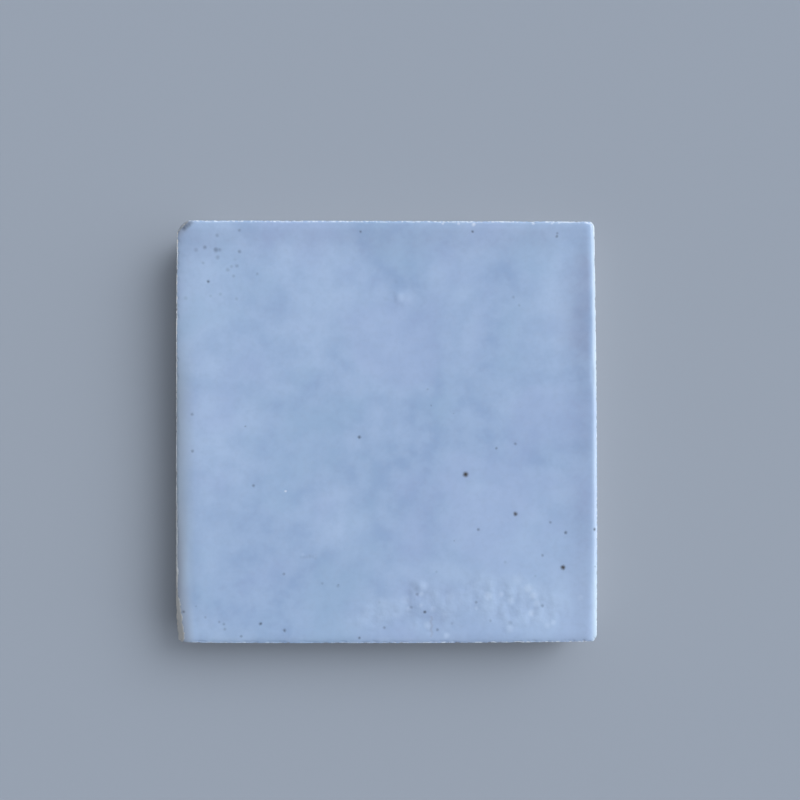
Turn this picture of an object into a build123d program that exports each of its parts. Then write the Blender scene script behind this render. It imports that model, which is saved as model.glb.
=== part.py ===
from build123d import *
from math import cos, radians, tan
import os

# A hand-made square wall tile: one piece of clay, glazed on its face and fired.
# Sizes are in millimetres. It lies on its back with the glazed face up.
# The origin is at the middle of the back, +X runs along the near edge and +Y to the far edge.

# Overall size
width = 100.0  # of the near edge, the longest one
depth = 100.0  # of the left edge
thickness = 10.0

# How far the hand-cut outline is out of square
far_left_inset = 0.4  # the far left corner lies this much further in than the near left one
far_right_inset = 0.7  # and the far right corner this much further in than the near right one
far_right_drop = 0.25  # the far edge runs towards the near one on its right
near_right_lift = 0.35  # and the near edge towards the far one

# How the glaze rolls over each edge of the face, as a quarter of an ellipse: inwards and down
roll_near = (2.4, 0.4)
roll_right = (1.9, 1.1)
roll_far = (0.7, 0.4)
roll_left = (7.0, 1.2)

# Sides and back
undercut_angle = 4.0  # degrees by which each side leans in towards the back
back_chamfer = 0.4

# The upright corners are rubbed round by a cylinder that meets each side at a low angle
corner_radius = 1.6
corner_meet_angle = 20.0  # degrees

# Where two corners have broken off. Each break is flat, and would meet the corner's three edges,
# before they were rolled, this far along the near or far edge, along the left edge, and down.
near_left_chip = (3.0, 31.0, 1.8)
near_left_split = (0.7, 7.4, 12.0)
far_left_chip = (3.9, 4.2, 4.0)
far_left_split = (1.5, 2.6, 11.0)

overrun = 5.0  # how far a cutting shape reaches past the clay


def outline_corners():
    """The corners of the tile at its widest level, from the near left one, anticlockwise."""
    near_left = Vector(-width / 2, -depth / 2)
    near_right = Vector(width / 2, -depth / 2 + near_right_lift)
    far_right = Vector(width / 2 - far_right_inset, depth / 2 - far_right_drop)
    far_left = Vector(-width / 2 + far_left_inset, depth / 2)
    return near_left, near_right, far_right, far_left


def side_waste(start, end, roll):
    """What is cut away outside the side from start to end: its roll, undercut and back chamfer."""
    along = (end - start).normalized()
    inward = Vector(-along.Y, along.X)
    roll_in, roll_down = roll

    # In the side's section, x is the distance inwards from the widest line, and y the height
    face_end = (roll_in, thickness)
    widest = (0, thickness - roll_down)
    wall_foot = ((thickness - roll_down - back_chamfer) * tan(radians(undercut_angle)), back_chamfer)
    below_back = (wall_foot[0] + back_chamfer + overrun, -overrun)
    with BuildSketch() as section:
        with BuildLine():
            EllipticalCenterArc((roll_in, thickness - roll_down), roll_in, roll_down, 90, arc_size=90)
            Polyline(
                widest,
                wall_foot,
                below_back,
                (-overrun, -overrun),
                (-overrun, thickness + overrun),
                (roll_in, thickness + overrun),
                face_end,
            )
        make_face()
    across = Plane(start - along * overrun, x_dir=inward, z_dir=along)
    return extrude(across * section.sketch, (end - start).length + 2 * overrun)


def corner_waste(corner):
    """What is rubbed off an upright corner, outside a cylinder that stands just inside it."""
    inset = corner_radius * cos(radians(corner_meet_angle))
    outward_x = 1 if corner.X > 0 else -1
    outward_y = 1 if corner.Y > 0 else -1
    reach = inset + overrun
    axis = Vector(corner.X - outward_x * inset, corner.Y - outward_y * inset)
    block = Pos(
        axis.X + outward_x * reach / 2,
        axis.Y + outward_y * reach / 2,
        thickness / 2,
    ) * Box(reach, reach, thickness + 2 * overrun)
    rubbed = Pos(axis.X, axis.Y, thickness / 2) * Cylinder(corner_radius, thickness + 2 * overrun)
    return block - rubbed


def broken_off(body, corner, chip):
    """The body without what lies outside the plane through a point on each of the corner's edges."""
    along_x, along_y, down = chip
    inward_x = -1 if corner.X > 0 else 1
    inward_y = -1 if corner.Y > 0 else 1
    on_face = Vector(corner.X, corner.Y, thickness)
    outward = Vector(-inward_x / along_x, -inward_y / along_y, 1 / down)
    break_plane = Plane(on_face - Vector(0, 0, down), z_dir=outward)
    return split(body, bisect_by=break_plane, keep=Keep.BOTTOM)


def make_tile():
    corners = outline_corners()
    near_left, near_right, far_right, far_left = corners
    tile = Pos(0, 0, thickness / 2) * Box(width + overrun, depth + overrun, thickness)
    tile -= side_waste(near_left, near_right, roll_near)
    tile -= side_waste(near_right, far_right, roll_right)
    tile -= side_waste(far_right, far_left, roll_far)
    tile -= side_waste(far_left, near_left, roll_left)
    for corner in corners:
        tile -= corner_waste(corner)
    for chip in (near_left_chip, near_left_split):
        tile = broken_off(tile, near_left, chip)
    for chip in (far_left_chip, far_left_split):
        tile = broken_off(tile, far_left, chip)
    return tile


os.makedirs("parts", exist_ok=True)
export_step(make_tile(), "parts/glazed_tile.step")
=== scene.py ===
import math

import bpy
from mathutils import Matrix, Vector


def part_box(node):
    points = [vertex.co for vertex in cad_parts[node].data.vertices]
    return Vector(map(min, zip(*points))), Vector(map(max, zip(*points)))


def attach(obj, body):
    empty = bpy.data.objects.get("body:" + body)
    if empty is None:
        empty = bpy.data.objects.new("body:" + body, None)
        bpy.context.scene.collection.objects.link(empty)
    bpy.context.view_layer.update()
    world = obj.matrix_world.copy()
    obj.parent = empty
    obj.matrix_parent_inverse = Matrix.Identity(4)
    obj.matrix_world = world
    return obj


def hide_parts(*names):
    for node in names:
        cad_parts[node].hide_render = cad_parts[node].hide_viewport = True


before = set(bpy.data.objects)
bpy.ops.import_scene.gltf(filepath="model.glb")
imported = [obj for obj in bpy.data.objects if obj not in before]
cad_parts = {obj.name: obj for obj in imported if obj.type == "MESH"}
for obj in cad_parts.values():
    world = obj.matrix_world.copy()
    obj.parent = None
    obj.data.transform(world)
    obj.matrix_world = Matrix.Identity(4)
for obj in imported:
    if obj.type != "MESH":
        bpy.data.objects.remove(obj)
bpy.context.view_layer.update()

# A hand-made square wall tile, glazed on its face, lying on a plain floor.
# Sizes in the dictionaries are in millimetres unless a note says otherwise.
mm = 0.001

# The camera looks straight down from just right of the tile's middle
camera = {
    "right": 3.24,
    "far": 7.52,
    "edgeHeight": 9.2,  # of the tile's widest line
    "aboveEdge": 142.4,
    "sensor": 36.0,
    "lens": 27.08,
}

# Settings that many nodes share
smooth = {"interpolation_type": "SMOOTHSTEP"}
plus = {"operation": "ADD"}
minus = {"operation": "SUBTRACT"}
times = {"operation": "MULTIPLY"}
larger = {"operation": "MAXIMUM"}
smaller = {"operation": "MINIMUM"}
number = {"data_type": "FLOAT"}
rgb = {"data_type": "RGBA"}


def toLinear(hexColour):
    channels = [int(hexColour[i:i + 2], 16) / 255 for i in (1, 3, 5)]
    return [c / 12.92 if c <= 0.04045 else ((c + 0.055) / 1.055) ** 2.4 for c in channels] + [1.0]


def addNode(tree, kind, inputs=(), **settings):
    # The inputs are a list in the order of the sockets, or a dictionary.
    # A node among them stands for its first live output.
    node = tree.nodes.new(kind)
    for name, value in settings.items():
        setattr(node, name, value)
    for key, value in inputs.items() if isinstance(inputs, dict) else enumerate(inputs):
        if isinstance(value, bpy.types.Node):
            value = next(socket for socket in value.outputs if socket.enabled)
        if isinstance(value, bpy.types.NodeSocket):
            tree.links.new(value, node.inputs[key])
        else:
            node.inputs[key].default_value = value
    return node


# The tile's blank

blank = {
    "cells": 368,  # points along each edge, a multiple of eight
    "crowding": 1.2,  # above 1, they are closer towards the corners
    "bandWidth": 3.2,  # of the finer rows that follow the edges of the face
    "bandRows": 14,
    "bandCrowding": 1.6,  # above 1, the rows are finer towards the edge
    "wallRows": 20,
    "wallCrowding": 1.25,  # above 1, the rows are finer towards the glaze
    "cornerRadii": {"nearLeft": 1.5, "nearRight": 1.3, "farRight": 1.2, "farLeft": 1.5},
    # How the face rolls over its edges, each a quarter of an ellipse: inwards and down
    "rollNear": (2.4, 0.4),
    "rollRight": (1.9, 1.1),
    "rollFar": (0.7, 0.4),
    "rollLeft": (7.0, 1.2),
    "rollWaist": 0.85,  # of the right roll's reach, left at the middle of its edge
    "rollFlare": 1.6,  # and what it grows to at the ends
    "rollBulge": (0.41, 0.09, 0.35),  # where it bulges, from -1 to 1 along the edge, how far, how much
    "farLeftRoll": 0.55,  # of the left roll's depth, left at the edge's far end
    "farLeftSpan": (-0.1, 0.7),  # between which it grows less, from -1 to 1 along the edge
    "lean": 4.0,  # degrees by which the sides lean in towards the back
    "footChamfer": 0.4,
    "backBorder": 0.9,
    # How far the corners lie inside the box, across and along
    "nearLeft": (0.08, 0.26),
    "nearRight": (0.08, 0.48),
    "farRight": (0.7, 0.34),
    "farLeft": (0.48, 0.08),
    # How far the sides swell between their corners
    "bowNear": 0.26,
    "bowRight": 0.3,
    "bowLeft": 0.22,
}

# Broken corners: which one, then how far the break reaches across, along and down
chips = [
    ("nearLeft", (3.0, 31.0, 1.8)),
    ("nearLeft", (0.7, 7.4, 12.0)),
    ("farLeft", (3.9, 4.2, 4.0)),
    ("farLeft", (1.5, 2.6, 11.0)),
]

tileLow, tileHigh = (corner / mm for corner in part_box("glazed_tile"))
halfWidth = (tileHigh.x - tileLow.x) / 2
halfDepth = (tileHigh.y - tileLow.y) / 2
middle = (tileLow + tileHigh) / 2
faceHeight = tileHigh.z
cornerSigns = {"nearLeft": (-1, -1), "nearRight": (1, -1), "farRight": (1, 1), "farLeft": (-1, 1)}


def mix(a, b, share):
    return a + (b - a) * share


def planPoint(u, v, inset):
    # Where u and v, each from -1 to 1, lie on the tile, moved in from its outline by the inset
    a, b = (1 - abs(u)) * halfWidth, (1 - abs(v)) * halfDepth
    corner = ("far" if v > 0 else "near") + ("Right" if u > 0 else "Left")
    radius = blank["cornerRadii"][corner]
    if a < radius and b < radius:
        across, along = radius - a, radius - b
        shrink = max(across, along) / math.hypot(across, along)
        a, b = radius - across * shrink, radius - along * shrink
    u = math.copysign(1 - a / halfWidth, u) * (1 - inset / halfWidth)
    v = math.copysign(1 - b / halfDepth, v) * (1 - inset / halfDepth)
    right, far = (u + 1) / 2, (v + 1) / 2
    left = -halfWidth + mix(blank["nearLeft"][0], blank["farLeft"][0], far)
    left -= blank["bowLeft"] * (1 - v * v)
    rightmost = halfWidth - mix(blank["nearRight"][0], blank["farRight"][0], far)
    rightmost += blank["bowRight"] * (1 - v * v)
    near = -halfDepth + mix(blank["nearLeft"][1], blank["nearRight"][1], right)
    near -= blank["bowNear"] * (1 - u * u)
    farthest = halfDepth - mix(blank["farLeft"][1], blank["farRight"][1], right)
    return middle.x + mix(left, rightmost, right), middle.y + mix(near, farthest, far)


def rollFall(distance, roll):
    # How far the face has fallen at that distance from an edge
    reach, down = roll
    short = max(1 - distance / reach, 0.0)
    return down * (1 - math.sqrt(1 - short * short))


def faceHeightAt(u, v):
    fromSide = (1 - abs(u)) * halfWidth
    if u > 0:
        reach, down = blank["rollRight"]
        centre, spread, bulge = blank["rollBulge"]
        share = mix(blank["rollWaist"], blank["rollFlare"], abs(v) ** 3)
        share += bulge * math.exp(-((v - centre) / spread) ** 2)
        across = rollFall(fromSide, (reach * share, down))
    else:
        start, end = blank["farLeftSpan"]
        farness = min(max((v - start) / (end - start), 0.0), 1.0)
        farness = farness ** 2 * (3 - 2 * farness)
        across = rollFall(fromSide, blank["rollLeft"]) * mix(1.0, blank["farLeftRoll"], farness)
    along = rollFall((1 - abs(v)) * halfDepth, blank["rollFar"] if v > 0 else blank["rollNear"])
    return faceHeight - across - along


# The next three give a point, and how far it lies inside the widest line, or less than 0 below it

def facePoint(u, v):
    reach = min((1 - abs(u)) * halfWidth, (1 - abs(v)) * halfDepth)
    return (*planPoint(u, v, 0.0), faceHeightAt(u, v)), reach


def wallPoint(u, v, share):
    top = faceHeightAt(u, v)
    fall = (top - blank["footChamfer"]) * share ** blank["wallCrowding"]
    inset = fall * math.tan(math.radians(blank["lean"]))
    return (*planPoint(u, v, inset), top - fall), -fall


def backPoint(u, v, border):
    fall = faceHeightAt(u, v)
    inset = fall * math.tan(math.radians(blank["lean"])) + border
    return (*planPoint(u, v, inset), 0.0), -fall


def breakCorners(point):
    # The point on the broken surface, and how far it lay inside the nearest break.
    # That is less than 0 if it was cut away.
    point = Vector(point)
    depth = math.inf
    for corner, (across, along, down) in chips:
        signX, signY = cornerSigns[corner]
        tip = Vector((middle.x + signX * halfWidth, middle.y + signY * halfDepth, faceHeight - down))
        outward = Vector((signX / across, signY / along, 1 / down)).normalized()
        inside = (tip - point).dot(outward)
        depth = min(depth, inside)
        point += min(inside, 0.0) * outward
    return point, depth


def gridFaces(spots, cells, step):
    # Faces between every step-th line of a grid, which take in the finer points on its border
    walk = [(k, 0) for k in range(step)] + [(step, k) for k in range(step)]
    walk += [(step - k, step) for k in range(step)] + [(0, step - k) for k in range(step)]
    faces = []
    for j in range(0, cells, step):
        for i in range(0, cells, step):
            outline = [(i + across, j + along) for across, along in walk]
            faces.append([spots[spot] for spot in outline if spot in spots])
    return faces


def makeBlank():
    cells, half = blank["cells"], blank["cells"] // 2
    line = [math.copysign(1 - (1 - abs(k) / half) ** blank["crowding"], k) for k in range(-half, half + 1)]
    border = [(i, 0) for i in range(cells)] + [(cells, j) for j in range(cells)]
    border += [(i, cells) for i in range(cells, 0, -1)] + [(0, j) for j in range(cells, 0, -1)]
    points, rims, rings = [], [], []

    def place(point, rim):
        points.append(point)
        rims.append(rim * mm)
        return len(points) - 1

    # Rings of points from the face over its edge, down the sides and a little way under the back
    for row in range(blank["bandRows"], -1, -1):
        share = (row / blank["bandRows"]) ** blank["bandCrowding"]
        shrink = 1 - share * blank["bandWidth"] / halfWidth
        rings.append([place(*facePoint(line[i] * shrink, line[j] * shrink)) for i, j in border])
    for row in range(1, blank["wallRows"] + 1):
        rings.append([place(*wallPoint(line[i], line[j], row / blank["wallRows"])) for i, j in border])
    for inset in (blank["footChamfer"], blank["backBorder"]):
        rings.append([place(*backPoint(line[i], line[j], inset)) for i, j in border])

    # Inside them the face has every second line and the back every fourth one
    face, back = dict(zip(border, rings[0])), dict(zip(border, rings[-1]))
    shrink = 1 - blank["bandWidth"] / halfWidth
    for j in range(2, cells, 2):
        for i in range(2, cells, 2):
            face[i, j] = place(*facePoint(line[i] * shrink, line[j] * shrink))
    for j in range(4, cells, 4):
        for i in range(4, cells, 4):
            back[i, j] = place(*backPoint(line[i], line[j], blank["backBorder"]))

    faces = gridFaces(face, cells, 2)
    faces += [outline[::-1] for outline in gridFaces(back, cells, 4)]
    for upper, lower in zip(rings, rings[1:]):
        for k in range(len(border)):
            following = (k + 1) % len(border)
            faces.append((upper[k], lower[k], lower[following], upper[following]))

    broken = [breakCorners(point) for point in points]
    mesh = bpy.data.meshes.new("tileBlank")
    mesh.from_pydata([point * mm for point, depth in broken], [], faces)
    mesh.attributes.new("rim", "FLOAT", "POINT").data.foreach_set("value", rims)
    depths = [depth * mm for point, depth in broken]
    mesh.attributes.new("chip", "FLOAT", "POINT").data.foreach_set("value", depths)
    mesh.shade_smooth()
    blankObject = bpy.data.objects.new("tileBlank", mesh)
    bpy.context.scene.collection.objects.link(blankObject)
    print("blank:", len(points), "points")
    return blankObject


# The tile's relief. Its sizes are in metres, as the node group's inputs.

relief = {
    "Swell Size": 34 * mm,  # of the slow waves left by pressing the clay by hand
    "Swell Height": 0.14 * mm,
    "Ripple Size": 8 * mm,
    "Ripple Height": 0.04 * mm,
    "Bead Height": 0.23 * mm,  # by which the glaze stands proud along the right and far edges
    "Bead Crest": 0.8 * mm,  # from the outline, where the bead starts to fall towards the middle
    "Bead Foot": 6.5 * mm,
    "Bead Size": 16 * mm,  # of the stretches in which it is higher or lower
    "Curdle Size": 3.2 * mm,  # of the soft lumps where the glaze has crawled
    "Curdle Height": 0.19 * mm,
    "Tooth Size": 1.0 * mm,  # of the notches along the near, far and left edges
    "Tooth Depth": 0.15 * mm,
    "Glaze Run Size": 5 * mm,
    "Glaze Run": 2.6 * mm,  # how far down the sides the longest runs of glaze reach
    "Left Bare": 0.17 * mm,  # how far inside the left edge the glaze ends
    "Corner Bare": 0.4 * mm,  # and how much further towards its chipped near end
    "Glaze Thickness": 0.16 * mm,
    "Clay Size": 3.2 * mm,
    "Clay Height": 0.1 * mm,  # of the trimmed clay's unevenness
    "Pit Size": 5.5 * mm,  # of the shallow pits in the back
    "Pit Depth": 0.18 * mm,
    "Seed": 7.0,
}
reliefDetail = {  # of each noise
    "Swell": 1.0,
    "Ripple": 2.0,
    "Bead": 1.0,
    "Tooth": 2.0,
    "Glaze Run": 2.0,
    "Clay": 3.0,
    "Pit": 2.0,
    "Curdle": 2.0,
}
# The next two give from where to where each share grows, then its least and its most if not 0 and 1
reliefSpans = {  # by a noise, which runs from 0 to 1
    "Bead": (0.3, 0.7, 0.5, 1.0),
    "Curdle": (0.36, 0.7),
    "Glaze Run": (0.25, 0.85, 0.2, 1.0),
    "Tooth": (0.45, 0.7),
    "Pit": (0.5, 0.72),
}
reliefZones = {  # by the place, in metres
    "valley": (1.3 * mm, 2.8 * mm),  # from the right and far edges
    "valleyFoot": (2.8 * mm, 12.0 * mm, 1.0, 0.0),
    "leftEdge": (2.6 * mm, 1.0 * mm),  # from the left edge
    "leftNearEnd": (-10 * mm, -30 * mm),  # along the left edge
    "breaks": (0.0, 1.5 * mm),  # from the breaks, beside which there is no relief
    "notches": (0.9 * mm, 0.1 * mm),  # from the widest line
    "rightNotches": (0.5 * mm, 2.0 * mm, 0.9, 1.0),  # from the right edge
    "clay": (-0.3 * mm, -1.6 * mm, 0.12, 1.0),  # below the widest line
    "glazeStep": (0.1 * mm, -0.25 * mm),  # across the glaze's end
    "face": (0.0, 0.6),  # how far up the surface looks, from -1 to 1
    "sides": (-0.95, -0.5),
    "back": (-0.8, -1.0),
}

# Ovals on the face, that fade outwards: right, far, reach across, reach along and amount
curdles = [  # how strongly the glaze has crawled into lumps, at most 1
    (31.0, -41.0, 17.0, 9.0, 1.5),
    (22.5, -37.0, 9.0, 6.0, 1.0),
    (10.0, -41.5, 12.0, 9.0, 1.5),
    (-3.0, -43.5, 9.0, 6.0, 1.0),
]
dents = [  # depth, which is below 0 for a bump
    (2.8, 31.7, 1.3, 1.9, -0.08),
    (3.9, 31.7, 2.8, 2.6, -0.07),
    (-18.3, -29.5, 3.0, 0.7, 0.05),
    (8.3, -36.8, 1.6, 2.2, -0.12),
    (-41.5, 49.8, 0.7, 0.6, 0.18),
    (-34.9, 49.8, 0.6, 0.5, 0.18),
    (48.6, 13.5, 0.9, 4.0, 0.12),
]
tonesAndPaintedLight = [  # how much paler the glaze is, or deeper below 0: partly its own colour, partly painted light, such as painted highlight beside a bump and painted shade inside the right edge
    (-43.0, 30.0, 19.0, 30.0, 0.6),
    (-18.0, 30.0, 16.0, 22.0, 0.25),
    (-44.0, -6.0, 16.0, 26.0, 0.25),
    (42.0, 34.0, 17.0, 24.0, 0.5),
    (46.0, -44.0, 18.0, 16.0, 0.5),
    (8.0, 22.0, 13.0, 28.0, -0.3),
    (8.0, -14.0, 14.0, 26.0, -0.5),
    (32.0, -2.0, 21.0, 15.0, -0.4),
    (20.0, -43.0, 20.0, 10.0, -0.3),
    (-25.0, -28.0, 17.0, 18.0, -0.3),
    (-43.0, -27.0, 13.0, 15.0, 0.4),
    (-9.0, -25.0, 10.0, 10.0, 0.35),
    (8.0, -42.0, 10.0, 9.0, -0.3),
    (41.0, -25.0, 10.0, 10.0, -0.2),
    (-51.0, 24.0, 4.0, 30.0, 0.45),
    (46.5, 8.0, 6.0, 13.0, -0.45),
    (46.5, -22.0, 6.0, 12.0, -0.4),
    (46.5, 27.5, 6.0, 7.0, -0.4),
    (46.0, -41.0, 6.0, 9.0, 0.35),
    (5.2, 31.8, 4.5, 3.5, 0.4),
]


def makeUnevenness(tree, given, position):
    # Noise from 0 to 1 for each kind of unevenness
    uneven = {}
    for order, (name, detail) in enumerate(reliefDetail.items()):
        scale = addNode(tree, "ShaderNodeMath", [1.0, given[name + " Size"]], operation="DIVIDE")
        seed = addNode(tree, "ShaderNodeMath", [given["Seed"], 3.0 * order], **plus)
        inputs = {"Vector": position, "W": seed, "Scale": scale, "Detail": detail}
        uneven[name] = addNode(tree, "ShaderNodeTexNoise", inputs, noise_dimensions="4D")

    # The glaze has crawled towards the near edge, so its lumps are longer that way
    drawn = addNode(tree, "ShaderNodeVectorMath", [position, (1.0, 0.6, 1.0)], **times)
    tree.links.new(drawn.outputs[0], uneven["Curdle"].inputs["Vector"])
    return uneven


def addUpOvals(tree, position, ovals):
    total = 0.0
    for x, y, across, along, amount in ovals:
        offset = addNode(tree, "ShaderNodeVectorMath", [position, (x * mm, y * mm, 0.0)], **minus)
        stretch = (1 / (across * mm), 1 / (along * mm), 0.0)
        local = addNode(tree, "ShaderNodeVectorMath", [offset, stretch], **times)
        away = addNode(tree, "ShaderNodeVectorMath", [local], operation="LENGTH")
        oval = addNode(tree, "ShaderNodeMapRange", [away, 1.0, 0.0, 0.0, amount], **smooth)
        total = addNode(tree, "ShaderNodeMath", [total, oval], **plus)
    return total


def makeBead(tree, given, uneven, fromRight, fromFar):
    # The bead along the right and far edges, rounded off where they meet, and the valley inside it
    inputs = [fromRight, fromFar, 2 * mm]
    fromBead = addNode(tree, "ShaderNodeMath", inputs, operation="SMOOTH_MIN")
    beadHeight = addNode(tree, "ShaderNodeMapRange", [uneven["Bead"], *reliefSpans["Bead"]])
    beadHeight = addNode(tree, "ShaderNodeMath", [beadHeight, given["Bead Height"]], **times)
    inputs = [fromBead, given["Bead Crest"], given["Bead Foot"], 0.0, beadHeight]
    bead = addNode(tree, "ShaderNodeMapRange", inputs, **smooth)
    valley = addNode(tree, "ShaderNodeMapRange", [fromBead, *reliefZones["valley"]], **smooth)
    valleyFoot = addNode(tree, "ShaderNodeMapRange", [fromBead, *reliefZones["valleyFoot"]], **smooth)
    return bead, addNode(tree, "ShaderNodeMath", [valley, valleyFoot], **times)


def makeGlazeReach(tree, given, uneven, right, far, rim, chip):
    # How far the glaze reaches past here: above 0 on glaze and below 0 on bare clay
    run = addNode(tree, "ShaderNodeMapRange", [uneven["Glaze Run"], *reliefSpans["Glaze Run"]])
    run = addNode(tree, "ShaderNodeMath", [run, given["Glaze Run"]], **times)
    fromLeft = addNode(tree, "ShaderNodeMath", [right, (middle.x - halfWidth) * mm], **minus)
    onLeft = addNode(tree, "ShaderNodeMapRange", [fromLeft, *reliefZones["leftEdge"]], **smooth)
    inputs = [far, *reliefZones["leftNearEnd"], 0.0, given["Corner Bare"]]
    bare = addNode(tree, "ShaderNodeMapRange", inputs, **smooth)
    bare = addNode(tree, "ShaderNodeMath", [bare, given["Left Bare"]], **plus)
    bare = addNode(tree, "ShaderNodeMath", [uneven["Glaze Run"], bare], **times)
    bare = addNode(tree, "ShaderNodeMath", [bare, -2.0], **times)  # the noise is 0.5 on average
    run = addNode(tree, "ShaderNodeMix", {0: onLeft, 2: run, 3: bare}, **number)
    reach = addNode(tree, "ShaderNodeMath", [rim, run], **plus)
    return addNode(tree, "ShaderNodeMath", [reach, chip], **smaller)


def makeCut(tree, given, uneven, fromRight, rim, upness, unbroken, reach):
    # How far the notches, the bare clay and the pits lie inside the surface, at right angles to it
    fromRim = addNode(tree, "ShaderNodeMath", [rim], operation="ABSOLUTE")
    nearRim = addNode(tree, "ShaderNodeMapRange", [fromRim, *reliefZones["notches"]], **smooth)
    rightward = addNode(tree, "ShaderNodeMapRange", [fromRight, *reliefZones["rightNotches"]], **smooth)
    toothDepth = addNode(tree, "ShaderNodeMath", [given["Tooth Depth"], rightward], **times)
    toothDepth = addNode(tree, "ShaderNodeMath", [toothDepth, nearRim], **times)
    inputs = [uneven["Tooth"], *reliefSpans["Tooth"], 0.0, toothDepth]
    tooth = addNode(tree, "ShaderNodeMapRange", inputs, **smooth)

    clayHeight = addNode(tree, "ShaderNodeMath", [uneven["Clay"], given["Clay Height"]], **times)
    clayHeight = addNode(tree, "ShaderNodeMath", [clayHeight, given["Glaze Thickness"]], **plus)
    notBack = addNode(tree, "ShaderNodeMapRange", [upness, *reliefZones["sides"]], **smooth)
    belowRim = addNode(tree, "ShaderNodeMapRange", [rim, *reliefZones["clay"]], **smooth)
    for share in (notBack, belowRim, unbroken):
        clayHeight = addNode(tree, "ShaderNodeMath", [clayHeight, share], **times)
    inputs = [reach, *reliefZones["glazeStep"], 0.0, clayHeight]
    clay = addNode(tree, "ShaderNodeMapRange", inputs, **smooth)

    onBack = addNode(tree, "ShaderNodeMapRange", [upness, *reliefZones["back"]], **smooth)
    pitDepth = addNode(tree, "ShaderNodeMath", [onBack, given["Pit Depth"]], **times)
    inputs = [uneven["Pit"], *reliefSpans["Pit"], 0.0, pitDepth]
    pit = addNode(tree, "ShaderNodeMapRange", inputs, **smooth)
    cut = addNode(tree, "ShaderNodeMath", [tooth, clay], **plus)
    return addNode(tree, "ShaderNodeMath", [cut, pit], **plus)


def makeReliefTree():
    tree = bpy.data.node_groups.new("handPressedRelief", "GeometryNodeTree")
    tree.interface.new_socket("Geometry", in_out="INPUT", socket_type="NodeSocketGeometry")
    for name, value in relief.items():
        tree.interface.new_socket(name, in_out="INPUT", socket_type="NodeSocketFloat").default_value = value
    tree.interface.new_socket("Material", in_out="INPUT", socket_type="NodeSocketMaterial")
    tree.interface.new_socket("Geometry", in_out="OUTPUT", socket_type="NodeSocketGeometry")
    given = addNode(tree, "NodeGroupInput").outputs
    position = addNode(tree, "GeometryNodeInputPosition")
    normal = addNode(tree, "GeometryNodeInputNormal")
    rim = addNode(tree, "GeometryNodeInputNamedAttribute", {"Name": "rim"}, **number)
    chip = addNode(tree, "GeometryNodeInputNamedAttribute", {"Name": "chip"}, **number)
    right, far = addNode(tree, "ShaderNodeSeparateXYZ", [position]).outputs[:2]
    upness = addNode(tree, "ShaderNodeSeparateXYZ", [normal]).outputs["Z"]
    fromRight = addNode(tree, "ShaderNodeMath", [(middle.x + halfWidth) * mm, right], **minus)
    fromFar = addNode(tree, "ShaderNodeMath", [(middle.y + halfDepth) * mm, far], **minus)
    onFace = addNode(tree, "ShaderNodeMapRange", [upness, *reliefZones["face"]], **smooth)
    unbroken = addNode(tree, "ShaderNodeMapRange", [chip, *reliefZones["breaks"]], **smooth)
    uneven = makeUnevenness(tree, given, position)
    bead, valley = makeBead(tree, given, uneven, fromRight, fromFar)

    # The lumps, the hollows between them, and the other ovals
    curdled = addNode(tree, "ShaderNodeMapRange", [addUpOvals(tree, position, curdles)])
    lumpy = addNode(tree, "ShaderNodeMapRange", [uneven["Curdle"], *reliefSpans["Curdle"]])
    lump = addNode(tree, "ShaderNodeMath", [lumpy, curdled], **times)
    hollow = addNode(tree, "ShaderNodeMath", [curdled, lump], **minus)
    dented = addNode(tree, "ShaderNodeMath", [addUpOvals(tree, position, dents), mm], **times)
    # Paler and deeper places, partly painted highlight and painted shade
    toneAndPaintedLight = addUpOvals(tree, position, tonesAndPaintedLight)

    # How far the face sinks
    sink = addNode(tree, "ShaderNodeMath", [bead, dented], **plus)
    for name, height in (("Swell", uneven["Swell"]), ("Ripple", uneven["Ripple"]), ("Curdle", hollow)):
        wave = addNode(tree, "ShaderNodeMath", [height, given[name + " Height"]], **times)
        sink = addNode(tree, "ShaderNodeMath", [sink, wave], **plus)
    for share in (onFace, unbroken):
        sink = addNode(tree, "ShaderNodeMath", [sink, share], **times)

    reach = makeGlazeReach(tree, given, uneven, right, far, rim, chip)
    cut = makeCut(tree, given, uneven, fromRight, rim, upness, unbroken, reach)
    down = addNode(tree, "ShaderNodeVectorMath", {0: (0, 0, -1), "Scale": sink}, operation="SCALE")
    inward = addNode(tree, "ShaderNodeMath", [cut, -1.0], **times)
    inward = addNode(tree, "ShaderNodeVectorMath", {0: normal, "Scale": inward}, operation="SCALE")
    offset = addNode(tree, "ShaderNodeVectorMath", [down, inward], **plus)
    geometry = given["Geometry"]
    stored = {"glazeReach": reach, "valley": valley, "lump": lump, "hollow": hollow, "toneAndPaintedLight": toneAndPaintedLight}
    for name, value in stored.items():
        inputs = {"Geometry": geometry, "Name": name, "Value": value}
        geometry = addNode(tree, "GeometryNodeStoreNamedAttribute", inputs, **number)
    moved = addNode(tree, "GeometryNodeSetPosition", {"Geometry": geometry, "Offset": offset})
    real = addNode(tree, "GeometryNodeRealizeInstances", [moved])
    inputs = {"Geometry": real, "Material": given["Material"]}
    addNode(tree, "NodeGroupOutput", [addNode(tree, "GeometryNodeSetMaterial", inputs)])
    print("relief:", len(tree.nodes), "nodes")
    return tree


# Glazed earthenware: fired buff clay, poured with an opaque glaze and fired again.
# The glaze gives a smooth deep gloss in a cloudy, very pale blue, and the clay a dry, grainy buff.

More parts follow.
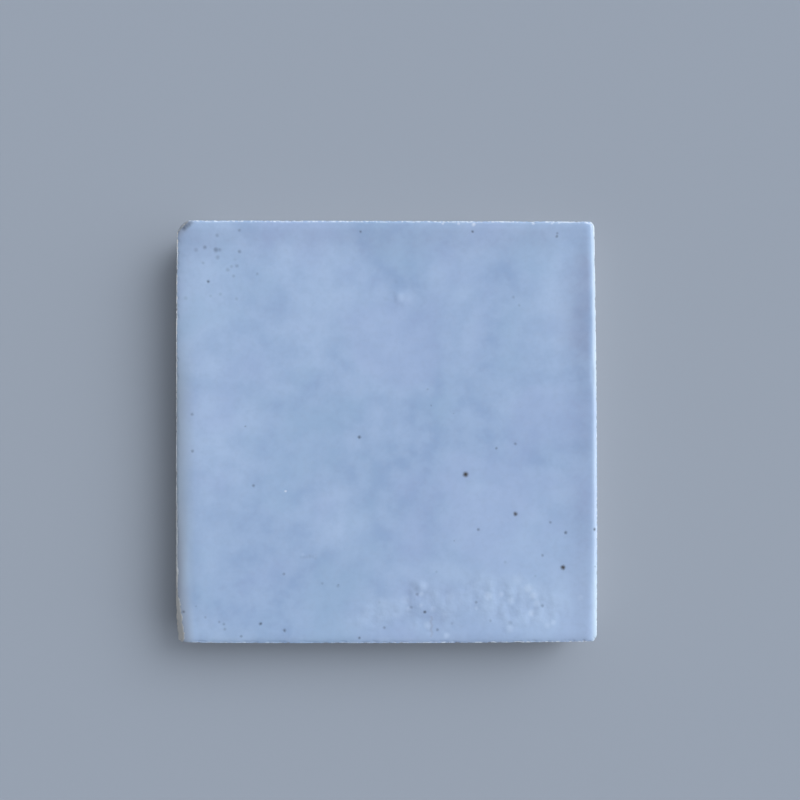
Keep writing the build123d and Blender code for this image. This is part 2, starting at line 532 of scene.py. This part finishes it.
glazed = {
    "glazeDeep": "#8AA2C5",
    "glazePale": "#A0B6D5",
    "glazeViolet": "#97A9CE",  # patches that lean to violet
    "glazeGreen": "#92ADCB",  # and to green
    "glazePalerNearRight": "#A0B7D7",  # paler near the right of the near edge
    # Paler glaze on the lumps, partly painted highlight
    "glazeLumpAndHighlight": "#B2C7E2",
    "glazeThinAndShaded": "#8996B4",  # painted shade in the valley inside the bead and between the lumps, partly thinner glaze; also the mottle
    "glazeShade": "#7F93AF",
    "glazeRollHighlight": "#B9CBD8",  # painted highlight over the right edge's roll
    "glazeLeft": "#9BAABA",  # where it has run thin over the left edge
    "glazeDarker": "#858E9F",  # darker, next to the breaks and along the near part of the left edge
    "glazeWornAndHighlight": "#DCE6EE",  # chalky where the edges are rubbed, and a painted highlight along the outermost line of the right and far edges
    "clay": "#C6BEB4",
    "clayDark": "#B0A79C",
    "clayPale": "#D4CDC3",
    # Rubbed clay, with the same share as the glaze's rubbed edges and painted highlight
    "clayRubbedAndHighlight": "#E0DBD3",
    "clayGreyed": "#A5A4A3",  # greyer and darker, at the broken near left corner
    "clayBluishDark": "#8996A6",  # darker and bluer, at the far left one
    "clayWashed": "#BECAD4",  # under the thinnest glaze, next to where it ends
    "lumpShare": 0.32,  # of the lumps' colour, where the glaze has crawled: thicker glaze and painted highlight
    "hollowShare": 0.15,  # of the thinner glaze's colour, partly painted shade, between those lumps
    "wearAndHighlightPatchiness": 0.3,
    "glazeRoughness": (0.08, 0.14),  # from patch to patch
    "clayRoughness": 0.9,
    "ior": 1.5,  # of a glassy glaze
    "speck": "#38424F",
    "ironSpot": "#3A332A",
    "glint": "#DCE4EE",
    "hairline": "#7A6A60",
    # Noises: size, detail and roughness
    "noises": {
        "clouds": (17.0, 2.0, 0.5),
        "cloudlets": (4.5, 3.0, 0.6),
        "patches": (6.0, 2.0, 0.5),
        "hues": (20.0, 2.0, 0.5),
        "mottle": (1.4, 2.0, 0.5),
        "wearAndHighlightSpots": (0.7, 3.0, 0.6),
        "fray": (0.9, 3.0, 0.6),
        "jitter": (0.8, 3.0, 0.6),
        "peel": (1.8, 1.0, 0.5),
        "curds": (1.3, 1.5, 0.5),
        "clayLumps": (4.5, 4.0, 0.6),
        "clayGrain": (0.45, 2.0, 0.6),
        "clayGrit": (0.25, 2.0, 0.6),
    },
    "fleckSpacing": 5.5,
    "jitter": 0.4,  # by which the spots' edges are ragged
    "spotFade": (1.6, 0.1),  # of a spot's radius, from where to where it darkens
    # Fine relief that shows only as bump
    "peelHeight": 0.006,
    "speckDepth": 0.03,
    "curdHeight": 0.06,
    "grainHeight": 0.07,
    "gritHeight": 0.05,
}

# How the shares of the colours grow: from where to where, then the least and the most if not 0 and 1.
# The noises run from 0 to 1. Lengths are places across or along the tile, or distances, in metres.
growth = {
    "clouds": (0.32, 0.68, 0.0, 0.52),
    "cloudlets": (0.3, 0.7, 0.0, 0.4),
    "violet": (0.5, 0.68, 0.0, 0.42),
    "green": (0.5, 0.32, 0.0, 0.5),
    "mottle": (0.4, 0.75, 0.0, 0.12),
    "palerNearRight": (34 * mm, 2 * mm, 0.0, 0.5),  # away from the middle of that paler place
    "valley": (20 * mm, 2 * mm, 0.35, 0.95),  # painted shade along the right edge, fading away from its darkest place
    "rollHighlightAlong": (16 * mm, 27 * mm, 0.4, 0.85),  # painted highlight along the right edge, brighter away from its dimmest place
    "rollHighlightAcross": (48.2 * mm, 49.7 * mm),
    "leftAlong": (8 * mm, 26 * mm, 0.8, 0.05),
    "leftAcross": (-45 * mm, -49.8 * mm),
    "darkerAlong": (-8 * mm, -30 * mm, 0.0, 0.75),
    "darkerAcross": (-46.7 * mm, -48.9 * mm),
    "darkerByBreak": (1.4 * mm, 0.0, 0.0, 0.6),
    "wearAndHighlight": (0.6, 0.76),
    "wearAndHighlightReach": (45 * mm, 49 * mm, 0.32 * mm, 0.6 * mm),  # wider by the far edge
    "wearAndHighlightAcross": (0.08 * mm, 0.0, 0.8),  # from that reach to here
    "towardsLight": (-60 * mm, -10 * mm, 0.35, 1.0),  # stronger away from the near left corner, towards the light
    # painted highlight along the outermost line of the right edge
    "edgeLineHighlightAlong": (-5 * mm, 35 * mm, 0.0, 0.14),
    "edgeLineHighlightAcross": (48 * mm, 49 * mm),
    "fleckTone": (0.6, 1.0, 0.0, 0.3),
    "fleck": (0.055, 0.02),
    "clay": (0.3, 0.65),
    "clayPale": (0.35, 0.7, 0.0, 0.5),
    "clayBroken": (0.4 * mm, 0.05 * mm),  # from the face of a break inwards
    "clayGreyed": (-25 * mm, -38 * mm, 0.0, 0.9),
    "clayBluishDark": (44 * mm, 46 * mm, 0.0, 0.85),
    "clayWashed": (-1.3 * mm, 0.0),  # up to where the glaze ends
    "washedAcross": (-47 * mm, -49 * mm, 0.3, 0.9),
    "washedByGreyed": (0.0, 1.0, 1.0, 0.3),
    "patches": (0.3, 0.7),  # of more and less gloss
    "fray": (0.0, 1.0, -0.25 * mm, 0.25 * mm),
    "glazeEdge": (-0.05 * mm, 0.06 * mm),
}
palerNearRightMiddle = (38.0 * mm, -41.0 * mm, faceHeight * mm)
# where the painted shade in the valley is darkest
valleyShadeDarkest = 30 * mm  # places along the right edge
# where the painted highlight over the right edge is dimmest
rollHighlightDimmest = -12 * mm

# Spots in the glaze: right, far, radius and strength from 0 to 1.
# Their places were read off as the camera sees them at the level of the tile's widest line.
ironSpots = [(18.8, -10.1, 0.6, 1.0), (30.6, -19.5, 0.51, 0.85), (41.9, -32.2, 0.55, 0.95)]
specks = [
    # Around the iron spots
    (30.6, -2.9, 0.34, 0.45), (26.1, -3.9, 0.3, 0.5), (42.5, -23.9, 0.38, 0.6), (38.9, -21.5, 0.34, 0.4),
    (21.8, -23.2, 0.34, 0.5), (37.0, -29.3, 0.34, 0.35), (35.3, -34.3, 0.3, 0.15), (28.2, -30.9, 0.34, 0.15),
    (49.35, -23.2, 0.36, 0.8),
    # Middle and left
    (-6.4, -1.3, 0.38, 0.7), (9.8, 10.1, 0.3, 0.22), (-31.5, -12.8, 0.36, 0.5), (-46.1, 4.1, 0.36, 0.35),
    (-46.0, -4.6, 0.36, 0.38), (-24.3, -33.7, 0.34, 0.4), (-15.2, -36.0, 0.33, 0.22),
    (-11.5, -36.6, 0.34, 0.2),
    # Near edge, from the left
    (-48.1, -42.7, 0.35, 0.6), (-42.9, -44.0, 0.3, 0.2), (-39.6, -45.1, 0.3, 0.3), (-38.5, -45.6, 0.32, 0.32),
    (-38.3, -46.8, 0.35, 0.28), (-34.4, -48.5, 0.32, 0.4), (-29.8, -45.5, 0.37, 0.75),
    (-24.1, -47.1, 0.37, 0.6),
    (-6.4, -48.9, 0.32, 0.6), (-0.5, -46.5, 0.34, 0.4), (-1.7, -40.5, 0.3, 0.12), (5.9, -41.7, 0.38, 0.3),
    (7.3, -38.6, 0.35, 0.35), (9.1, -42.8, 0.38, 0.8), (12.1, -47.0, 0.34, 0.38), (11.9, -33.2, 0.3, 0.15),
    (15.5, -45.5, 0.35, 0.16), (21.3, -40.5, 0.36, 0.4), (24.7, -44.8, 0.36, 0.24), (29.4, -45.3, 0.5, 0.2),
    (37.0, -41.3, 0.4, 0.38),
    # Far edge
    (-6.1, 47.4, 0.3, 0.55), (20.4, 47.4, 0.31, 0.65), (40.4, 46.3, 0.33, 0.52), (40.5, 47.0, 0.3, 0.35),
    (30.1, 31.9, 0.35, 0.2), (31.5, 30.0, 0.3, 0.18),
    # The faint cluster near the far left corner
    (-45.1, 43.1, 0.45, 0.2), (-43.0, 43.7, 0.42, 0.38), (-40.4, 43.1, 0.55, 0.45), (-39.6, 43.1, 0.45, 0.3),
    (-40.0, 41.3, 0.5, 0.24), (-34.8, 42.7, 0.42, 0.38), (-34.8, 47.7, 0.35, 0.3), (-42.2, 35.6, 0.36, 0.7),
    (-35.4, 39.3, 0.4, 0.26), (-37.6, 38.4, 0.45, 0.2), (-36.7, 39.2, 0.35, 0.2), (-36.2, 36.9, 0.4, 0.22),
    (-30.6, 37.4, 0.35, 0.22), (-39.3, 32.6, 0.4, 0.18), (-35.5, 31.5, 0.4, 0.15), (-41.7, 32.2, 0.35, 0.15),
    (-47.6, 31.7, 0.45, 0.15), (-43.4, 40.0, 0.35, 0.2), (-35.9, 40.8, 0.4, 0.1), (-40.1, 46.5, 0.42, 0.26),
    # Darker glaze at the far left corner
    (-48.8, 48.5, 0.45, 0.35), (-48.4, 48.5, 0.5, 0.5), (-47.9, 48.3, 0.6, 0.6), (-47.3, 48.8, 0.6, 0.5),
    (-46.8, 49.2, 0.6, 0.45), (-46.3, 49.5, 0.45, 0.3),
]
glints = [
    (-23.9, -14.1, 0.26, 0.7),
    # Nicks along the far edge
    (13.4, 49.3, 0.3, 0.4), (17.1, 49.3, 0.35, 0.4), (20.7, 49.1, 0.45, 0.55), (34.8, 49.3, 0.35, 0.5),
    (39.3, 49.4, 0.3, 0.4), (40.9, 49.5, 0.3, 0.4),
]
shades = [  # painted shade on the sides of the bumps away from the light, and darker glaze along a faint scratch
    (1.9, 32.8, 0.45, 0.15), (2.05, 32.1, 0.4, 0.2), (2.15, 31.4, 0.4, 0.25), (2.0, 30.9, 0.4, 0.2),
    (-0.1, 31.6, 0.6, 0.15), (2.3, 35.6, 0.5, 0.25), (3.8, 30.0, 0.6, 0.15),
    (-20.2, -29.7, 0.4, 0.26), (-19.5, -29.8, 0.4, 0.32), (-18.8, -29.7, 0.45, 0.34),
    (-18.1, -29.6, 0.5, 0.4), (-17.4, -29.7, 0.4, 0.32), (-16.8, -30.0, 0.4, 0.32),
    (6.4, -36.3, 1.1, 0.35), (7.0, -37.2, 0.9, 0.4), (5.9, -37.9, 0.8, 0.2),
]
lumpsAndHighlights = [  # pale spots of thicker glaze in arcs, partly painted highlight on the lit sides of lumps and bumps
    (3.7, 31.9, 1.1, 0.35), (5.2, 31.8, 1.5, 0.2), (9.0, -36.6, 1.2, 0.4), (-19.8, -29.1, 0.4, 0.25),
    (4.4, -40.1, 1.2, 0.3), (-0.9, -40.7, 1.3, 0.3), (2.2, -43.5, 1.0, 0.25), (15.4, -39.3, 1.3, 0.35),
    (24.2, -39.0, 1.1, 0.8), (27.3, -38.6, 0.7, 0.6), (29.6, -40.0, 1.0, 0.6), (31.1, -35.2, 1.4, 0.4),
    (33.7, -37.2, 1.2, 0.8), (34.9, -38.8, 1.0, 0.8), (35.7, -40.7, 0.9, 0.6), (34.4, -43.1, 0.8, 0.9),
    (46.0, -39.3, 0.7, 0.4), (39.6, -45.2, 0.7, 0.7), (38.2, -45.9, 0.8, 0.5), (29.4, -46.6, 1.1, 0.5),
    (8.3, -38.5, 0.6, 0.6), (8.2, -41.2, 0.6, 0.5), (11.0, -42.0, 0.8, 0.4), (9.7, -46.0, 0.8, 0.5),
    (5.2, -42.0, 0.6, 0.4), (13.9, -43.3, 1.0, 0.3), (14.3, -48.3, 0.7, 0.6), (21.4, -41.8, 0.5, 0.5),
]
# A crack that runs to the near edge
hairlines = [(10.7 + 0.15 * math.sin(1.1 * k), -44.0 - 0.3 * k, 0.3, 0.16) for k in range(16)]


def makeMarks(tree, given, noises):
    # Where the spots of each kind show, from 0 to 1, each with a ragged edge
    inputs = [noises["jitter"].outputs["Color"], (0.5, 0.5, 0.5)]
    jitter = addNode(tree, "ShaderNodeVectorMath", inputs, **minus)
    inputs = {0: jitter, "Scale": glazed["jitter"] * mm}
    jitter = addNode(tree, "ShaderNodeVectorMath", inputs, operation="SCALE")
    ragged = addNode(tree, "ShaderNodeVectorMath", [given["place"], jitter], **plus)
    ragged = addNode(tree, "ShaderNodeVectorMath", [ragged, (1.0, 1.0, 0.0)], **times)
    kinds = {
        "speck": specks,
        "ironSpot": ironSpots,
        "glint": glints,
        "shade": shades,
        "lump": lumpsAndHighlights,
        "hairline": hairlines,
    }
    marks = {}
    # The face is nearer to the camera than the widest line, so on it they lie closer to the camera's axis
    closer = 1 - (faceHeight - camera["edgeHeight"]) / camera["aboveEdge"]
    fadeStart, fadeEnd = glazed["spotFade"]
    for name, spots in kinds.items():
        marked = 0.0
        for x, y, radius, strength in spots:
            x, y = mix(camera["right"], x, closer), mix(camera["far"], y, closer)
            inputs = [ragged, (x * mm, y * mm, 0.0)]
            away = addNode(tree, "ShaderNodeVectorMath", inputs, operation="DISTANCE")
            inputs = [away, radius * fadeStart * mm, radius * fadeEnd * mm, 0.0, strength]
            spot = addNode(tree, "ShaderNodeMapRange", inputs, **smooth)
            marked = addNode(tree, "ShaderNodeMath", [marked, spot], **larger)
        marks[name] = marked

    # A scatter of faint flecks
    inputs = {"Vector": ragged, "Scale": 1 / (glazed["fleckSpacing"] * mm)}
    flecks = addNode(tree, "ShaderNodeTexVoronoi", inputs)
    fleckTone = addNode(tree, "ShaderNodeSeparateColor", [flecks.outputs["Color"]])
    fleckTone = addNode(tree, "ShaderNodeMapRange", [fleckTone, *growth["fleckTone"]], **smooth)
    fleck = addNode(tree, "ShaderNodeMapRange", [flecks, *growth["fleck"], 0.0, fleckTone], **smooth)
    marks["speck"] = addNode(tree, "ShaderNodeMath", [marks["speck"], fleck], **larger)
    return marks


def makeWearAndHighlight(tree, given, noises):
    # Where the edges are rubbed chalky, and a painted highlight along them: patches near the widest line,
    # stronger towards the light
    wearAndHighlightReach = addNode(tree, "ShaderNodeMapRange", [given["far"], *growth["wearAndHighlightReach"]])
    wearAndHighlightAway = addNode(tree, "ShaderNodeMath", [given["rim"]], operation="ABSOLUTE")
    wearAndHighlightAway = addNode(tree, "ShaderNodeMapRange", [wearAndHighlightAway, wearAndHighlightReach, *growth["wearAndHighlightAcross"]], **smooth)
    towardsLight = addNode(tree, "ShaderNodeMath", [given["right"], given["far"]], **plus)
    towardsLight = addNode(tree, "ShaderNodeMapRange", [towardsLight, *growth["towardsLight"]], **smooth)
    wearAndHighlightAway = addNode(tree, "ShaderNodeMath", [wearAndHighlightAway, towardsLight], **times)
    wearAndHighlight = addNode(tree, "ShaderNodeMath", [noises["patches"], glazed["wearAndHighlightPatchiness"]], **times)
    wearAndHighlight = addNode(tree, "ShaderNodeMath", [wearAndHighlight, noises["wearAndHighlightSpots"]], **plus)
    edgeLineHighlight = addNode(tree, "ShaderNodeMapRange", [given["far"], *growth["edgeLineHighlightAlong"]], **smooth)
    edgeLineHighlight = addNode(tree, "ShaderNodeMapRange", [given["right"], *growth["edgeLineHighlightAcross"], 0.0, edgeLineHighlight])
    wearAndHighlight = addNode(tree, "ShaderNodeMath", [wearAndHighlight, edgeLineHighlight], **plus)
    return addNode(tree, "ShaderNodeMapRange", [wearAndHighlight, *growth["wearAndHighlight"], 0.0, wearAndHighlightAway], **smooth)


def makeGlazeColour(tree, given, noises, marks, wearAndHighlight):
    right, far = given["right"], given["far"]

    # Painted shade, partly thinner glaze, in the valley and between the lumps
    valleyShadeAlong = addNode(tree, "ShaderNodeMath", [far, valleyShadeDarkest], **minus)
    valleyShadeAlong = addNode(tree, "ShaderNodeMath", [valleyShadeAlong], operation="ABSOLUTE")
    valleyShadeAlong = addNode(tree, "ShaderNodeMapRange", [valleyShadeAlong, *growth["valley"]], **smooth)
    thinAndShaded = addNode(tree, "ShaderNodeMath", [given["valley"], noises["patches"]], **times)
    thinAndShaded = addNode(tree, "ShaderNodeMath", [thinAndShaded, valleyShadeAlong], **times)
    hollow = addNode(tree, "ShaderNodeMath", [given["hollow"], glazed["hollowShare"]], **times)
    thinAndShaded = addNode(tree, "ShaderNodeMath", [thinAndShaded, hollow], **larger)
    mottle = addNode(tree, "ShaderNodeMapRange", [noises["mottle"], *growth["mottle"]], **smooth)

    # The bands along the right and left edges: painted highlight on the right, thinner glaze on the left
    rollHighlight = addNode(tree, "ShaderNodeMath", [far, rollHighlightDimmest], **minus)
    rollHighlight = addNode(tree, "ShaderNodeMath", [rollHighlight], operation="ABSOLUTE")
    rollHighlight = addNode(tree, "ShaderNodeMapRange", [rollHighlight, *growth["rollHighlightAlong"]], **smooth)
    onLeft = addNode(tree, "ShaderNodeMapRange", [far, *growth["leftAlong"]], **smooth)
    darker = addNode(tree, "ShaderNodeMapRange", [far, *growth["darkerAlong"]], **smooth)
    darker = addNode(tree, "ShaderNodeMapRange", [right, *growth["darkerAcross"], 0.0, darker])
    byBreak = addNode(tree, "ShaderNodeMapRange", [given["chip"], *growth["darkerByBreak"]], **smooth)

    # From its deep tone outwards: the share of each colour laid over the one before
    clouds = addNode(tree, "ShaderNodeMapRange", [noises["clouds"], *growth["clouds"]], **smooth)
    cloudlets = addNode(tree, "ShaderNodeMapRange", [noises["cloudlets"], *growth["cloudlets"]], **smooth)
    clouds = addNode(tree, "ShaderNodeMath", [clouds, cloudlets], **plus)
    fromPalerNearRight = addNode(tree, "ShaderNodeVectorMath", [given["place"], palerNearRightMiddle], operation="DISTANCE")
    lump = addNode(tree, "ShaderNodeMath", [given["lump"], glazed["lumpShare"]], **times)
    shares = {
        "glazePale": addNode(tree, "ShaderNodeMath", [clouds, given["toneAndPaintedLight"]], use_clamp=True, **plus),
        "glazeViolet": addNode(tree, "ShaderNodeMapRange", [noises["hues"], *growth["violet"]], **smooth),
        "glazeGreen": addNode(tree, "ShaderNodeMapRange", [noises["hues"], *growth["green"]], **smooth),
        "glazePalerNearRight": addNode(tree, "ShaderNodeMapRange", [fromPalerNearRight, *growth["palerNearRight"]], **smooth),
        "glazeLumpAndHighlight": addNode(tree, "ShaderNodeMath", [lump, marks["lump"]], **larger),
        "glazeThinAndShaded": addNode(tree, "ShaderNodeMath", [mottle, thinAndShaded], **plus),
        "glazeShade": marks["shade"],
        "glazeRollHighlight": addNode(tree, "ShaderNodeMapRange", [right, *growth["rollHighlightAcross"], 0.0, rollHighlight]),
        "glazeLeft": addNode(tree, "ShaderNodeMapRange", [right, *growth["leftAcross"], 0.0, onLeft]),
        "glazeDarker": addNode(tree, "ShaderNodeMath", [darker, byBreak], **larger),
        "glazeWornAndHighlight": wearAndHighlight,
        "hairline": marks["hairline"],
        "speck": marks["speck"],
        "ironSpot": marks["ironSpot"],
        "glint": marks["glint"],
    }
    colour = toLinear(glazed["glazeDeep"])
    for name, share in shares.items():
        colour = addNode(tree, "ShaderNodeMix", {0: share, 6: colour, 7: toLinear(glazed[name])}, **rgb)
    return colour


def makeClayColour(tree, given, noises, wearAndHighlight):
    # Laid on in the same way as the glaze's colours. The near left breaks are greyer, the far left ones
    # darker and bluer.
    broken = addNode(tree, "ShaderNodeMapRange", [given["chip"], *growth["clayBroken"]], **smooth)
    greyedClay = addNode(tree, "ShaderNodeMapRange", [given["far"], *growth["clayGreyed"]], **smooth)
    greyedClay = addNode(tree, "ShaderNodeMath", [broken, greyedClay], **times)
    farLeftDark = addNode(tree, "ShaderNodeMapRange", [given["far"], *growth["clayBluishDark"]], **smooth)
    notGreyed = addNode(tree, "ShaderNodeMapRange", [greyedClay, *growth["washedByGreyed"]])
    washed = addNode(tree, "ShaderNodeMapRange", [given["right"], *growth["washedAcross"]], **smooth)
    washed = addNode(tree, "ShaderNodeMath", [washed, notGreyed], **times)
    inputs = [given["glazeReach"], *growth["clayWashed"], 0.0, washed]
    washed = addNode(tree, "ShaderNodeMapRange", inputs, **smooth)
    shares = {
        "clay": addNode(tree, "ShaderNodeMapRange", [noises["clayLumps"], *growth["clay"]], **smooth),
        "clayPale": addNode(tree, "ShaderNodeMapRange", [noises["clayGrain"], *growth["clayPale"]], **smooth),
        "clayGreyed": greyedClay,
        "clayWashed": washed,
        "clayBluishDark": addNode(tree, "ShaderNodeMath", [broken, farLeftDark], **times),
        "clayRubbedAndHighlight": wearAndHighlight,
    }
    colour = toLinear(glazed["clayDark"])
    for name, share in shares.items():
        colour = addNode(tree, "ShaderNodeMix", {0: share, 6: colour, 7: toLinear(glazed[name])}, **rgb)
    return colour


def makeFineRelief(tree, given, noises, marks, isGlaze):
    # In millimetres, shown as bump
    peel = addNode(tree, "ShaderNodeMath", [noises["peel"], glazed["peelHeight"]], **times)
    sunk = addNode(tree, "ShaderNodeMath", [marks["speck"], -glazed["speckDepth"]], **times)
    curdled = addNode(tree, "ShaderNodeMath", [given["lump"], given["hollow"]], **plus)
    curds = addNode(tree, "ShaderNodeMath", [noises["curds"], curdled], **times)
    curds = addNode(tree, "ShaderNodeMath", [curds, glazed["curdHeight"]], **times)
    glazeHeight = addNode(tree, "ShaderNodeMath", [peel, sunk], **plus)
    glazeHeight = addNode(tree, "ShaderNodeMath", [glazeHeight, curds], **plus)
    grain = addNode(tree, "ShaderNodeMath", [noises["clayGrain"], glazed["grainHeight"]], **times)
    grit = addNode(tree, "ShaderNodeMath", [noises["clayGrit"], glazed["gritHeight"]], **times)
    clayHeight = addNode(tree, "ShaderNodeMath", [grain, grit], **plus)
    height = addNode(tree, "ShaderNodeMix", {0: isGlaze, 2: clayHeight, 3: glazeHeight}, **number)
    return addNode(tree, "ShaderNodeBump", {"Strength": 1.0, "Distance": mm, "Height": height})


def makeGlazedEarthenware():
    material = bpy.data.materials.new("glazedEarthenware")
    material.use_nodes = True
    tree = material.node_tree
    tree.nodes.clear()
    given = {"place": addNode(tree, "ShaderNodeTexCoord").outputs["Object"]}
    given["right"], given["far"] = addNode(tree, "ShaderNodeSeparateXYZ", [given["place"]]).outputs[:2]
    for name in ("glazeReach", "rim", "chip", "valley", "lump", "hollow", "toneAndPaintedLight"):
        given[name] = addNode(tree, "ShaderNodeAttribute", attribute_name=name).outputs["Fac"]
    noises = {}
    for name, (size, detail, roughness) in glazed["noises"].items():
        inputs = {"Vector": given["place"], "Scale": 1 / (size * mm)}
        inputs.update({"Detail": detail, "Roughness": roughness})
        noises[name] = addNode(tree, "ShaderNodeTexNoise", inputs)

    # Glaze over clay, with a frayed edge
    marks = makeMarks(tree, given, noises)
    wearAndHighlight = makeWearAndHighlight(tree, given, noises)
    glaze = makeGlazeColour(tree, given, noises, marks, wearAndHighlight)
    clay = makeClayColour(tree, given, noises, wearAndHighlight)
    frayed = addNode(tree, "ShaderNodeMapRange", [noises["fray"], *growth["fray"]])
    frayed = addNode(tree, "ShaderNodeMath", [given["glazeReach"], frayed], **plus)
    isGlaze = addNode(tree, "ShaderNodeMapRange", [frayed, *growth["glazeEdge"]], **smooth)
    colour = addNode(tree, "ShaderNodeMix", {0: isGlaze, 6: clay, 7: glaze}, **rgb)
    inputs = [noises["patches"], *growth["patches"], *glazed["glazeRoughness"]]
    gloss = addNode(tree, "ShaderNodeMapRange", inputs)
    roughness = addNode(tree, "ShaderNodeMix", {0: isGlaze, 2: glazed["clayRoughness"], 3: gloss}, **number)
    bump = makeFineRelief(tree, given, noises, marks, isGlaze)
    inputs = {"Base Color": colour, "Roughness": roughness, "Normal": bump, "IOR": glazed["ior"]}
    addNode(tree, "ShaderNodeOutputMaterial", [addNode(tree, "ShaderNodeBsdfPrincipled", inputs)])
    print("glazed earthenware:", len(tree.nodes), "nodes")
    return material


def makeTile():
    source = makeBlank()
    tree = makeReliefTree()
    modifier = source.modifiers.new("relief", "NODES")
    modifier.node_group = tree
    sockets = {item.name: item.identifier for item in tree.interface.items_tree if item.in_out == "INPUT"}
    for name, value in relief.items():
        modifier[sockets[name]] = value
    modifier[sockets["Material"]] = makeGlazedEarthenware()
    evaluated = source.evaluated_get(bpy.context.evaluated_depsgraph_get())
    mesh = bpy.data.meshes.new_from_object(evaluated)
    mesh.name = "glazedTile"
    piece = bpy.data.objects.new("glazedTile", mesh)
    bpy.context.scene.collection.objects.link(piece)
    bpy.data.objects.remove(source)
    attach(piece, "root")
    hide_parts("glazed_tile")
    mesh.calc_loop_triangles()
    print("tile:", len(mesh.loop_triangles), "triangles")


makeTile()

# The stage

stage = {
    "floorSize": 6000.0,
    "floor": "#949DAA",
    "floorRoughness": 0.9,
    "backdrop": "#99A3B1",
    "sky": "#F4F6F9",
    "skyEverywhere": 0.3,
    "windowStrength": 3.5,
    "windowSpread": 5.0,  # the power of its falling off, so a larger number is a smaller window
    "elevation": 31.0,  # degrees above the floor, of the window and of the sun
    "azimuth": 38.0,  # degrees from +X towards +Y
    "sunPower": 1.29,
    "sunAngle": 32.0,  # degrees across, as wide as a large soft box
    "edgePower": 0.8,  # of a lower one on the right, which the rolled right edge mirrors
    "edgeElevation": 20.0,
    "edgeAzimuth": 4.0,
    "edgeAngle": 44.0,
}


def directionOf(azimuth, elevation):
    azimuth, elevation = math.radians(azimuth), math.radians(elevation)
    level = math.cos(elevation)
    return Vector((math.cos(azimuth) * level, math.sin(azimuth) * level, math.sin(elevation)))


def makeStage():
    half = stage["floorSize"] / 2 * mm
    mesh = bpy.data.meshes.new("floor")
    corners = [(-half, -half, 0), (half, -half, 0), (half, half, 0), (-half, half, 0)]
    mesh.from_pydata(corners, [], [(0, 1, 2, 3)])
    floor = bpy.data.objects.new("floor", mesh)
    bpy.context.scene.collection.objects.link(floor)
    # Painted board, quite matt, so that it has no sheen behind the tile
    material = bpy.data.materials.new("paintedBoard")
    material.use_nodes = True
    shader = material.node_tree.nodes["Principled BSDF"]
    shader.inputs["Base Color"].default_value = toLinear(stage["floor"])
    shader.inputs["Roughness"].default_value = stage["floorRoughness"]
    shader.inputs["Specular IOR Level"].default_value = 0.0
    mesh.materials.append(material)

    towards = directionOf(stage["azimuth"], stage["elevation"])

    # The light that surfaces gather is brightest towards a window. What is seen of it is a plain backdrop.
    world = bpy.data.worlds.new("studio")
    bpy.context.scene.world = world
    world.use_nodes = True
    tree = world.node_tree
    tree.nodes.clear()
    direction = addNode(tree, "ShaderNodeTexCoord").outputs["Generated"]
    facing = addNode(tree, "ShaderNodeVectorMath", [direction, towards], operation="DOT_PRODUCT")
    facing = addNode(tree, "ShaderNodeMath", [facing, 0.0], **larger)
    window = addNode(tree, "ShaderNodeMath", [facing, stage["windowSpread"]], operation="POWER")
    inputs = [window, 0.0, 1.0, stage["skyEverywhere"], stage["skyEverywhere"] + stage["windowStrength"]]
    strength = addNode(tree, "ShaderNodeMapRange", inputs)
    sky = addNode(tree, "ShaderNodeBackground", [toLinear(stage["sky"]), strength])
    backdrop = addNode(tree, "ShaderNodeBackground", [toLinear(stage["backdrop"]), 1.0])
    rays = addNode(tree, "ShaderNodeLightPath").outputs
    seen = addNode(tree, "ShaderNodeMath", [rays["Is Camera Ray"], rays["Is Glossy Ray"]], **larger)
    seen = addNode(tree, "ShaderNodeMath", [seen, rays["Is Transmission Ray"]], **larger)
    shown = addNode(tree, "ShaderNodeMixShader", [seen, sky, backdrop])
    addNode(tree, "ShaderNodeOutputWorld", [shown])

    edgeTowards = directionOf(stage["edgeAzimuth"], stage["edgeElevation"])
    for name, aim, power, angle in (
        ("softSun", towards, stage["sunPower"], stage["sunAngle"]),
        ("edgeLight", edgeTowards, stage["edgePower"], stage["edgeAngle"]),
    ):
        light = bpy.data.lights.new(name, "SUN")
        light.energy = power
        light.angle = math.radians(angle)
        lamp = bpy.data.objects.new(name, light)
        lamp.rotation_euler = aim.to_track_quat("Z", "Y").to_euler()
        bpy.context.scene.collection.objects.link(lamp)


def makeCamera():
    data = bpy.data.cameras.new("camera")
    data.sensor_width = camera["sensor"]
    data.lens = camera["lens"]
    data.clip_start = 1 * mm
    holder = bpy.data.objects.new("camera", data)
    height = camera["edgeHeight"] + camera["aboveEdge"]
    holder.location = Vector((camera["right"], camera["far"], height)) * mm
    bpy.context.scene.collection.objects.link(holder)
    bpy.context.scene.camera = holder


makeStage()
makeCamera()
bpy.context.scene.view_settings.view_transform = "Standard"
print("stage and camera: done")
